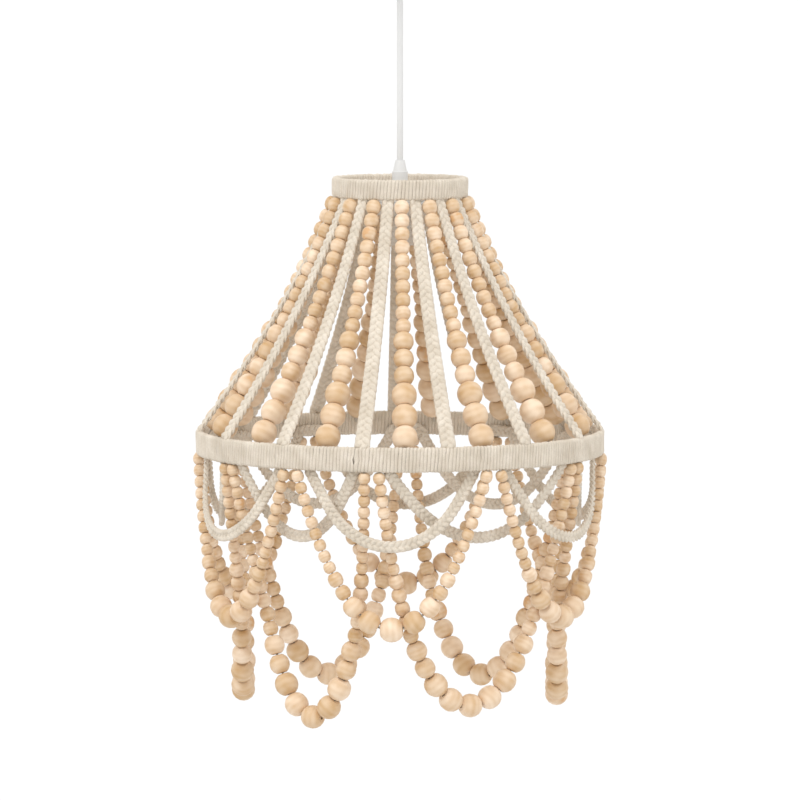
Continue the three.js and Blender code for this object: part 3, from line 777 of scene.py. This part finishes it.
# Bead strands of the bell
# Fifteen threads of turned wooden beads run from under the top hoop to the inside of the mid
# hoop, flaring like a bell. Small beads fill each thread and six larger ones end it.
bead_length_share = 0.9
bead_bore_share = 0.09
small_bead = 15 * mm
medium_bead = 20 * mm
large_bead = 25 * mm
fine_bead_from = 17.5 * mm
bead_edge = math.radians(30)
bead_wobble = 0.06
bead_spin = 6.283
bead_sizes = (0.98, 1.0)
bead_shift = (17.0, 31.0, 23.0)
wood_pale_stop = (0.34, (0.80, 0.632, 0.465, 1))
wood_brown_stop = (0.88, (0.60, 0.40, 0.222, 1))
wood_heart_stop = (1.0, (0.59, 0.33, 0.135, 1))
heart_from = 0.95
heart_strength = 0.9
figure_share = 0.25
figure_depth = 0.3 * mm
pore_stretch = (3.0, 3.0, 16.0)
pore_roughness = (0.42, 0.62)
tone_saturation = (1.22, 0.92)
tone_brightness = (0.85, 1.08)
thread_beige = (0.50, 0.45, 0.38)
strand_count = 15
first_strand = 1.5
strand_foot_beads = [(3, medium_bead), (3, large_bead)]
strand_tail = 9.5 * mm
strand_top_inset = 2.5 * mm
strand_end_drop = 10 * mm
bell_flare = 0.75
thread_radius = 1 * mm
thread_sides = 8
thread_tail = 1.2 * mm
thread_stride = 4
least_gap_share = 0.6
hoop_sides = 40
line_steps = 200


def wood_finish(name):
    """Turned pale wood: growth bands across the thread, pores, and a tone for every bead."""
    material, tree, shader = finish_material(name, roughness=0.5)
    shader.inputs["Specular IOR Level"].default_value = 0.5
    grain = add_node(tree, "ShaderNodeAttribute", attribute_name="grain")
    bead = add_node(tree, "ShaderNodeAttribute", attribute_name="tone")
    tone = outlet(bead, "Fac")
    shift = vector_maths(tree, "MULTIPLY", outlet(bead, "Vector"), bead_shift)
    own = vector_maths(tree, "ADD", outlet(grain, "Vector"), shift)
    bands = fed(tree, "ShaderNodeTexWave", "Fac", {
        "Vector": own, "Scale": 1.1, "Distortion": 6.0, "Detail": 2.0, "Detail Scale": 0.7},
        bands_direction="Z")
    patches = noise(tree, own, scale=1.6, detail=1.0)
    stretch = fed(tree, "ShaderNodeMapping", "Vector", {"Vector": own, "Scale": pore_stretch})
    pores = noise(tree, stretch, scale=2.2, detail=4.0, roughness=0.6)
    figure = maths(tree, "MULTIPLY", bands, pores)
    mixed = maths(tree, "MULTIPLY_ADD", figure, figure_share, patches)
    heart = fed(tree, "ShaderNodeMapRange", "Result", {
        "Value": tone, "From Min": heart_from, "To Max": heart_strength})
    stained = maths(tree, "MULTIPLY_ADD", heart, patches, mixed)
    shaded = fed(tree, "ShaderNodeHueSaturation", "Color", {
        "Saturation": between(tree, tone, *tone_saturation),
        "Value": between(tree, tone, *tone_brightness),
        "Color": tinted(tree, stained, wood_pale_stop, wood_brown_stop, wood_heart_stop)})
    tree.links.new(shaded, shader.inputs["Base Color"])
    tree.links.new(between(tree, pores, *pore_roughness), shader.inputs["Roughness"])
    raised(tree, shader, figure, strength=0.12, depth=figure_depth)
    return material


def mark_points(mesh, **layers):
    """Stores a number or a vector for every point of a mesh, under each name."""
    for name, values in layers.items():
        kind, key = ("FLOAT_VECTOR", "vector") if np.ndim(values) == 2 else ("FLOAT", "value")
        mesh.attributes.new(name, kind, "POINT").data.foreach_set(key, np.ravel(values))


def bead_shape(name, sides, bands, fullness):
    """A bead one across with flat drilled ends and its places as grain; fullness 2 is a ball."""
    half = bead_length_share / 2
    profile = [(bead_bore_share, -half)]
    for k in range(bands + 1):
        level = half * math.sin(math.pi / 2 * (2 * k / bands - 1))
        profile.append(((0.5 ** fullness - abs(level) ** fullness) ** (1 / fullness), level))
    profile.append((bead_bore_share, half))
    profile.append(profile[0])
    ball = turned(name, profile, bead_wood, sides)
    mesh = ball.data
    mesh.set_sharp_from_angle(angle=bead_edge)
    mark_points(mesh, grain=[vertex.co for vertex in mesh.vertices])
    bpy.context.scene.collection.objects.unlink(ball)
    return ball


def attribute_of(tree, name, kind="FLOAT"):
    """A named attribute of the guide mesh."""
    return fed(tree, "GeometryNodeInputNamedAttribute", "Attribute", {"Name": name},
               data_type=kind)


def random_of(tree, kind, low, high, seed):
    """Random values between two limits from a fixed seed."""
    return fed(tree, "FunctionNodeRandomValue", "Value", {
        "Min": low, "Max": high, "Seed": seed}, data_type=kind)


def together(tree, parts):
    """Several geometries as one."""
    whole = tree.nodes.new("GeometryNodeJoinGeometry")
    for part in parts:
        tree.links.new(part, whole.inputs["Geometry"])
    return outlet(whole, "Geometry")


bead_tree, beads = geometry_tree(
    "beads", Bead="Object", FineBead="Object", Thread="Object", Seed="Int", Wood="Material")
bead_width = attribute_of(bead_tree, "width")
bead_turn = fed(bead_tree, "FunctionNodeAlignRotationToVector", "Rotation", {
    "Vector": attribute_of(bead_tree, "direction", "FLOAT_VECTOR")}, axis="Z")
bead_lean = fed(bead_tree, "FunctionNodeEulerToRotation", "Rotation", {
    "Euler": random_of(bead_tree, "FLOAT_VECTOR", (-bead_wobble, -bead_wobble, 0),
                       (bead_wobble, bead_wobble, bead_spin), beads["Seed"])})
bead_rotation = fed(bead_tree, "FunctionNodeRotateRotation", "Rotation", {
    "Rotation": bead_turn, "Rotate By": bead_lean}, rotation_space="LOCAL")
bead_size = maths(bead_tree, "MULTIPLY", bead_width,
                  random_of(bead_tree, "FLOAT", *bead_sizes, beads["Seed"]))
bead_big = fed(bead_tree, "FunctionNodeCompare", "Result", {"A": bead_width, "B": fine_bead_from})
bead_small = fed(bead_tree, "FunctionNodeBooleanMath", "Boolean", {0: bead_big}, operation="NOT")
bead_sets = []
for source, chosen in [("Bead", bead_small), ("FineBead", bead_big)]:
    shape = fed(bead_tree, "GeometryNodeObjectInfo", "Geometry", {"Object": beads[source]})
    bead_sets.append(fed(bead_tree, "GeometryNodeInstanceOnPoints", "Instances", {
        "Points": beads["Geometry"], "Selection": chosen, "Instance": shape,
        "Rotation": bead_rotation, "Scale": bead_size}))
bead_toned = fed(bead_tree, "GeometryNodeStoreNamedAttribute", "Geometry", {
    "Geometry": together(bead_tree, bead_sets), "Name": "tone",
    "Value": random_of(bead_tree, "FLOAT", 0.0, 1.0, beads["Seed"])},
    domain="INSTANCE", data_type="FLOAT")
thread_shape = fed(bead_tree, "GeometryNodeObjectInfo", "Geometry", {"Object": beads["Thread"]})
end_tree(bead_tree, together(bead_tree, [
    thread_shape, dressed(bead_tree, bead_toned, beads["Wood"])]))


def run_along(points):
    """Length along a row of points, from the first."""
    return np.concatenate([[0], np.cumsum(np.linalg.norm(np.diff(points, axis=0), axis=1))])


def spots_on(points, places):
    """Points and directions at lengths along a row of points."""
    run = run_along(points)
    slopes = np.gradient(points, run, axis=0)
    spots = np.stack([np.interp(places, run, points[:, k]) for k in range(3)], axis=1)
    lines = np.stack([np.interp(places, run, slopes[:, k]) for k in range(3)], axis=1)
    return spots, lines / np.linalg.norm(lines, axis=1)[:, None]


def threaded(name, points, groups, tail, seed):
    """Beads on their thread along a row of points; spare thread shows most beside large ones."""
    widths = np.concatenate([np.full(count, width) for count, width in groups])
    lengths = widths * bead_length_share
    total = run_along(points)[-1]
    smallest = widths.min()
    least = least_gap_share * smallest
    weights = np.maximum(widths[1:] + widths[:-1] - 2 * smallest, least)
    gaps = (total - tail - lengths.sum()) * weights / weights.sum()
    middles = np.concatenate([[0], np.cumsum(lengths[:-1] + gaps)]) + lengths / 2
    spots, directions = spots_on(points, middles)
    guide = bpy.data.meshes.new(name)
    guide.from_pydata(spots.tolist(), [], [])
    mark_points(guide, width=widths, direction=directions)
    rise = thread_tail * np.array([0, 0, 1])
    route = [points[0] + rise, *points[::thread_stride]]
    if tail == 0:
        route.append(points[-1] + rise)
    cord = tube(name + "_cord", [tuple(spot) for spot in route],
                thread_radius, thread_sides, thread_cotton)
    piece = grown(name + "_beads", guide, bead_tree, Bead=plain_bead, FineBead=fine_bead,
                  Thread=cord, Seed=seed, Wood=bead_wood)
    bpy.data.objects.remove(cord)
    return piece


def bell_line(degrees, top_radius, top, foot_radius, foot):
    """Line from the top hoop to the mid hoop that flares outwards like a bell."""
    shares = np.linspace(0, 1, line_steps + 1)
    flare = bell_flare * shares + (1 - bell_flare) * shares ** 2
    return np.array([
        polar(degrees, top_radius + (foot_radius - top_radius) * out, top + (foot - top) * down)
        for out, down in zip(flare, shares)])


bead_wood = wood_finish("bead_wood")
thread_cotton = even_finish("bead_thread", thread_beige, roughness=0.9, grain_scale=3000.0,
                            grain_depth=0.3 * mm, relief=0.5)
plain_bead = bead_shape("plain_bead", sides=12, bands=6, fullness=2.35)
fine_bead = bead_shape("fine_bead", sides=16, bands=8, fullness=2.15)
top_low, top_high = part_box("top_hoop_binding")
mid_inner = (mid_high.x - hoop_thickness) * math.cos(math.pi / hoop_sides)
for number in range(1, strand_count + 1):
    degrees = first_strand + 360 / strand_count * (number - 1)
    line = bell_line(
        degrees, top_high.x - strand_top_inset, top_low.z - seat_gap,
        mid_inner - seat_gap - thread_radius, mid_high.z - strand_end_drop)
    room = run_along(line)[-1] - strand_tail
    room -= sum(count * width * bead_length_share for count, width in strand_foot_beads)
    fill = int(room / (small_bead * bead_length_share))
    strand = threaded(f"strand_{number:02d}", line,
                      [(fill, small_bead), *strand_foot_beads], strand_tail, number)
    stands_for(strand, f"bead_strand_{number:02d}", "shade")


# Braids of the bell
# Between the strands fifteen flat plaits of three thick cotton strands run from under the top
# hoop to the upper edge of the mid hoop. The beads beside them press their tops narrower.
braid_top_width = 12 * mm
braid_foot_width = 14.5 * mm
braid_thickness = 4 * mm
braid_top_inset = 3.2 * mm
braid_end_inset = 3.2 * mm
braid_overlap = 3.5 * mm
braid_periods_share = 1.6
braid_step = 2 * mm
press_run = 20 * mm
lock_width_share = 0.46
lock_swing_share = 0.345
swing_fullness = 0.15
lock_thickness = 3.0 * mm
lock_rise = 1.35 * mm
lock_count = 3
lock_sides = 8
lock_weld_gap = 0.01 * mm

plait_tree, plait = geometry_tree(
    "plait", Period="Float", Swing="Float", Lift="Float", LockWidth="Float",
    LockThickness="Float", Cotton="Material")
plait_across = attribute_of(plait_tree, "across", "FLOAT_VECTOR")
plait_outward = attribute_of(plait_tree, "outward", "FLOAT_VECTOR")
plait_taper = attribute_of(plait_tree, "taper")
plait_line = fed(plait_tree, "GeometryNodeMeshToCurve", "Curve", {"Mesh": plait["Geometry"]})
lock_arc = fed(plait_tree, "GeometryNodeCurveArc", "Curve", {
    "Resolution": lock_sides + 1, "Radius": 0.5, "Sweep Angle": 2 * math.pi})
lock_mark = fed(plait_tree, "GeometryNodeStoreNamedAttribute", "Geometry", {
    "Geometry": lock_arc, "Name": "turn",
    "Value": fed(plait_tree, "GeometryNodeSplineParameter", "Factor")})
lock_size = fed(plait_tree, "ShaderNodeCombineXYZ", "Vector", {
    "X": plait["LockThickness"], "Y": plait["LockWidth"], "Z": 1.0})
lock_profile = fed(plait_tree, "GeometryNodeTransform", "Geometry", {
    "Geometry": lock_mark, "Scale": lock_size})
plait_cycle = maths(plait_tree, "DIVIDE", attribute_of(plait_tree, "run"), plait["Period"])
locks = []
for lock in range(lock_count):
    started = maths(plait_tree, "ADD", plait_cycle, lock / lock_count)
    angle = maths(plait_tree, "MULTIPLY", started, 2 * math.pi)
    ripple = maths(plait_tree, "SINE", maths(plait_tree, "MULTIPLY", angle, 3.0))
    swing = maths(plait_tree, "MULTIPLY_ADD", ripple, swing_fullness,
                  maths(plait_tree, "SINE", angle))
    lift = maths(plait_tree, "SINE", maths(plait_tree, "MULTIPLY", angle, 2.0))
    offsets = []
    for axis, wave, size in [(plait_across, swing, "Swing"), (plait_outward, lift, "Lift")]:
        sized = maths(plait_tree, "MULTIPLY", wave, plait[size])
        narrowed = maths(plait_tree, "MULTIPLY", sized, plait_taper)
        offsets.append(vector_maths(plait_tree, "SCALE", axis, narrowed))
    moved = fed(plait_tree, "GeometryNodeSetPosition", "Geometry", {
        "Geometry": plait_line, "Offset": vector_maths(plait_tree, "ADD", *offsets)})
    faced = fed(plait_tree, "GeometryNodeSetCurveNormal", "Curve", {
        "Curve": moved, "Normal": plait_outward}, mode="FREE")
    locks.append(fed(plait_tree, "GeometryNodeCurveToMesh", "Mesh", {
        "Curve": faced, "Profile Curve": lock_profile,
        "Scale": attribute_of(plait_tree, "girth")}))
lock_uv = fed(plait_tree, "ShaderNodeCombineXYZ", "Vector", {
    "X": plait_cycle, "Y": attribute_of(plait_tree, "turn")})
plait_marked = fed(plait_tree, "GeometryNodeStoreNamedAttribute", "Geometry", {
    "Geometry": together(plait_tree, locks), "Name": "UVMap", "Value": lock_uv},
    domain="CORNER", data_type="FLOAT2")
plait_weld = fed(plait_tree, "GeometryNodeMergeByDistance", "Geometry", {
    "Geometry": plait_marked, "Distance": lock_weld_gap})
end_tree(plait_tree, dressed(plait_tree, plait_weld, plait["Cotton"]))


def plaited(name, points, widths, closed):
    """A flat plait of three locks along a row of points, wide along the surface of the lamp."""
    total = run_along(points)[-1]
    width = max(widths)
    period = total / round(total / (braid_periods_share * width))
    steps = round(total / braid_step)
    places = np.linspace(0, total, steps + 1)[:-1 if closed else None]
    spots, tangents = spots_on(points, places)
    outward = spots * [1, 1, 0]
    outward /= np.linalg.norm(outward, axis=1)[:, None]
    outward -= tangents * np.sum(outward * tangents, axis=1)[:, None]
    outward /= np.linalg.norm(outward, axis=1)[:, None]
    across = np.cross(tangents, outward)
    taper = np.interp(places, [0, press_run, total], np.array(widths) / width)
    girth = taper.copy()
    if not closed:
        girth[[0, -1]] = 0
    count = len(places)
    edges = [(k, (k + 1) % count) for k in range(count if closed else count - 1)]
    guide = bpy.data.meshes.new(name)
    guide.from_pydata(spots.tolist(), edges, [])
    mark_points(guide, run=places, taper=taper, girth=girth, across=across, outward=outward)
    piece = grown(name, guide, plait_tree, Period=period, Swing=lock_swing_share * width,
                  Lift=lock_rise, LockWidth=lock_width_share * width,
                  LockThickness=lock_thickness, Cotton=cotton_braid)
    piece.data.shade_smooth()
    return piece


cotton_braid = cotton_finish("cotton_braid", plies=3, twist=6, strength=0.55)
braid_slope_rise = mid_high.z + seat_gap - (top_low.z - seat_gap)
braid_radii = (top_high.x - braid_top_inset, mid_high.x - braid_end_inset)
braid_slope = (2 - bell_flare) * (braid_radii[1] - braid_radii[0]) / -braid_slope_rise
braid_lift = braid_thickness / 2 * math.sin(math.atan(braid_slope))
top_spacing = (top_high.x - strand_top_inset) * math.sin(math.pi / strand_count)
pressed_width = min(braid_top_width, 2 * (top_spacing - seat_gap) - small_bead)
braid_widths = [pressed_width, braid_top_width, braid_foot_width]
for number in range(1, strand_count + 1):
    degrees = first_strand + 360 / strand_count * (number - 0.5)
    line = bell_line(
        degrees, braid_radii[0], top_low.z - seat_gap - braid_lift,
        braid_radii[1], mid_high.z + seat_gap + braid_lift)
    line = np.vstack([
        line[0] + [0, 0, braid_overlap], line, line[-1] - [0, 0, braid_overlap]])
    braid = plaited(f"braid_{number:02d}_plait", line, braid_widths, closed=False)
    stands_for(braid, f"braid_{number:02d}", "shade")


# Bead swags
# Below the mid hoop hang six shallow swags of 27 wooden beads and, inside them and half a step
# round, six deep ones of 37. Each hangs from two knots under the hoop by its own weight.
seed_bead = 12 * mm
outer_shoulder_bead = 22 * mm
outer_centre_bead = 24 * mm
inner_centre_bead = 23 * mm
outer_beads = [(9, seed_bead), (2, small_bead), (1, medium_bead), (1, outer_shoulder_bead),
               (1, outer_centre_bead), (1, outer_shoulder_bead), (1, medium_bead),
               (2, small_bead), (9, seed_bead)]
inner_beads = [(9, seed_bead), (5, small_bead), (2, medium_bead), (5, inner_centre_bead),
               (2, medium_bead), (5, small_bead), (9, seed_bead)]
outer_slack = 25.4 * mm
inner_slack = 25.1 * mm
outer_seat_inset = 2.5 * mm
inner_seat_inset = 4.8 * mm
outer_mid_inset = 14.5 * mm
swag_mid_spacing = 31.5 * mm
outer_curve = 1.25
inner_curve = 2
push_depth = 147 * mm
pair_half_spacing = 6.8 * mm
swag_seat_gap = 0.6 * mm
drop_halvings = 30
outer_seed = 40
inner_seed = 60


def hang_share(places, curve):
    """Depth of a hanging line as a share of its drop, from -1 to 1 along its span."""
    return 1 - (np.cosh(curve * places) - 1) / (np.cosh(curve) - 1)


def swag_line(start, end, drop, curve, middle_radius):
    """Line between two points that hangs with a drop and swings to a radius at its middle."""
    shares = np.linspace(0, 1, line_steps + 1)[:, None]
    chord = end - start
    outward = np.array([-chord[1], chord[0], 0]) / np.hypot(chord[0], chord[1])
    outward *= np.sign(outward @ start)
    depth = drop * hang_share(2 * shares - 1, curve)
    push = (middle_radius - outward @ start) * np.minimum(depth / push_depth, 1)
    return start + chord * shares + outward * push - depth * np.array([0, 0, 1])


def hung_line(start, end, thread, curve, middle_radius):
    """The line whose drop takes up the whole thread."""
    low, high = 0, thread / 2
    for _ in range(drop_halvings):
        middle = (low + high) / 2
        short = run_along(swag_line(start, end, middle, curve, middle_radius))[-1] < thread
        low, high = (middle, high) if short else (low, middle)
    return swag_line(start, end, high, curve, middle_radius)


def hang_swags(name, points, beads, slack, seat_inset, curve, middle_radius, seed):
    """A ring of swags between neighbouring points of the mid hoop."""
    radius = mid_high.x - seat_inset
    stride = math.degrees(pair_half_spacing / radius)
    thread = sum(count * width * bead_length_share for count, width in beads) + slack
    for number, (point, following) in enumerate(zip(points, points[1:] + [points[0] + 360]), 1):
        start = polar(point + stride, radius, mid_low.z - swag_seat_gap)
        end = polar(following - stride, radius, mid_low.z - swag_seat_gap)
        line = hung_line(start, end, thread, curve, middle_radius)
        swag = threaded(f"{name}_{number}", line, beads, 0, seed + number)
        stands_for(swag, f"{name}_{number}", f"{name}_{number}")


outer_mid_radius = mid_high.x - outer_mid_inset
hang_swags("outer_swag", outer_points, outer_beads, outer_slack, outer_seat_inset,
           outer_curve, outer_mid_radius, outer_seed)
hang_swags("inner_swag", inner_points, inner_beads, inner_slack, inner_seat_inset,
           inner_curve, outer_mid_radius - swag_mid_spacing, inner_seed)
bpy.data.objects.remove(plain_bead)
bpy.data.objects.remove(fine_bead)


# Braid festoons
# Two endless cotton plaits are stitched behind the foot of the mid hoop at each point where the
# swags hang, and sag between those points, the outer one a little deeper than the inner one.
festoon_width = 11 * mm
link_clearance = 0.6 * mm
link_drop = 1 * mm
turn_drop = 2.5 * mm
exit_drop = 6 * mm
half_spacing = 19.5 * mm
link_end_share = 0.4
link_turn_share = 0.78
outer_drop = 71 * mm
inner_drop = 66 * mm
outer_sag_inset = 3.5 * mm
inner_sag_inset = 25 * mm
festoon_curve = 1.5
festoon_steps = 6
spline_steps = 12


def smooth_loop(points):
    """A smooth closed line through a ring of points, that ends where it starts."""
    count = len(points)
    line = []
    for k in range(count):
        before, here, after, beyond = [points[(k + shift) % count] for shift in (-1, 0, 1, 2)]
        for step in range(spline_steps):
            t = step / spline_steps
            line.append(0.5 * (2 * here + (after - before) * t
                               + (2 * before - 5 * here + 4 * after - beyond) * t ** 2
                               + (3 * here - before - 3 * after + beyond) * t ** 3))
    return np.array(line + [line[0]])


def hang_festoon(name, points, drop, sag_inset):
    """One endless plait past all the points."""
    radius = mid_inner - braid_thickness / 2 - link_clearance
    level = mid_low.z + festoon_width / 2 + link_drop
    start_level = mid_low.z - exit_drop
    stride = math.degrees(half_spacing / radius)
    route = []
    for point, following in zip(points, points[1:] + [points[0] + 360]):
        route.append(polar(point + stride * link_end_share, radius, level))
        route.append(polar(point + stride * link_turn_share, radius, level - turn_drop))
        for u in np.linspace(-1, 1, festoon_steps + 1):
            hang = hang_share(u, festoon_curve)
            middle = (point + following) / 2 + u * ((following - point) / 2 - stride)
            route.append(polar(middle, radius + (mid_high.x - sag_inset - radius) * hang,
                               start_level - (drop - exit_drop) * hang))
        route.append(polar(following - stride * link_turn_share, radius, level - turn_drop))
        route.append(polar(following - stride * link_end_share, radius, level))
    loop = smooth_loop(np.array(route))
    festoon = plaited(name + "_plait", loop, 3 * [festoon_width], closed=True)
    stands_for(festoon, name, "shade")


hang_festoon("outer_festoon", outer_points, outer_drop, outer_sag_inset)
hang_festoon("inner_festoon", inner_points, inner_drop, inner_sag_inset)
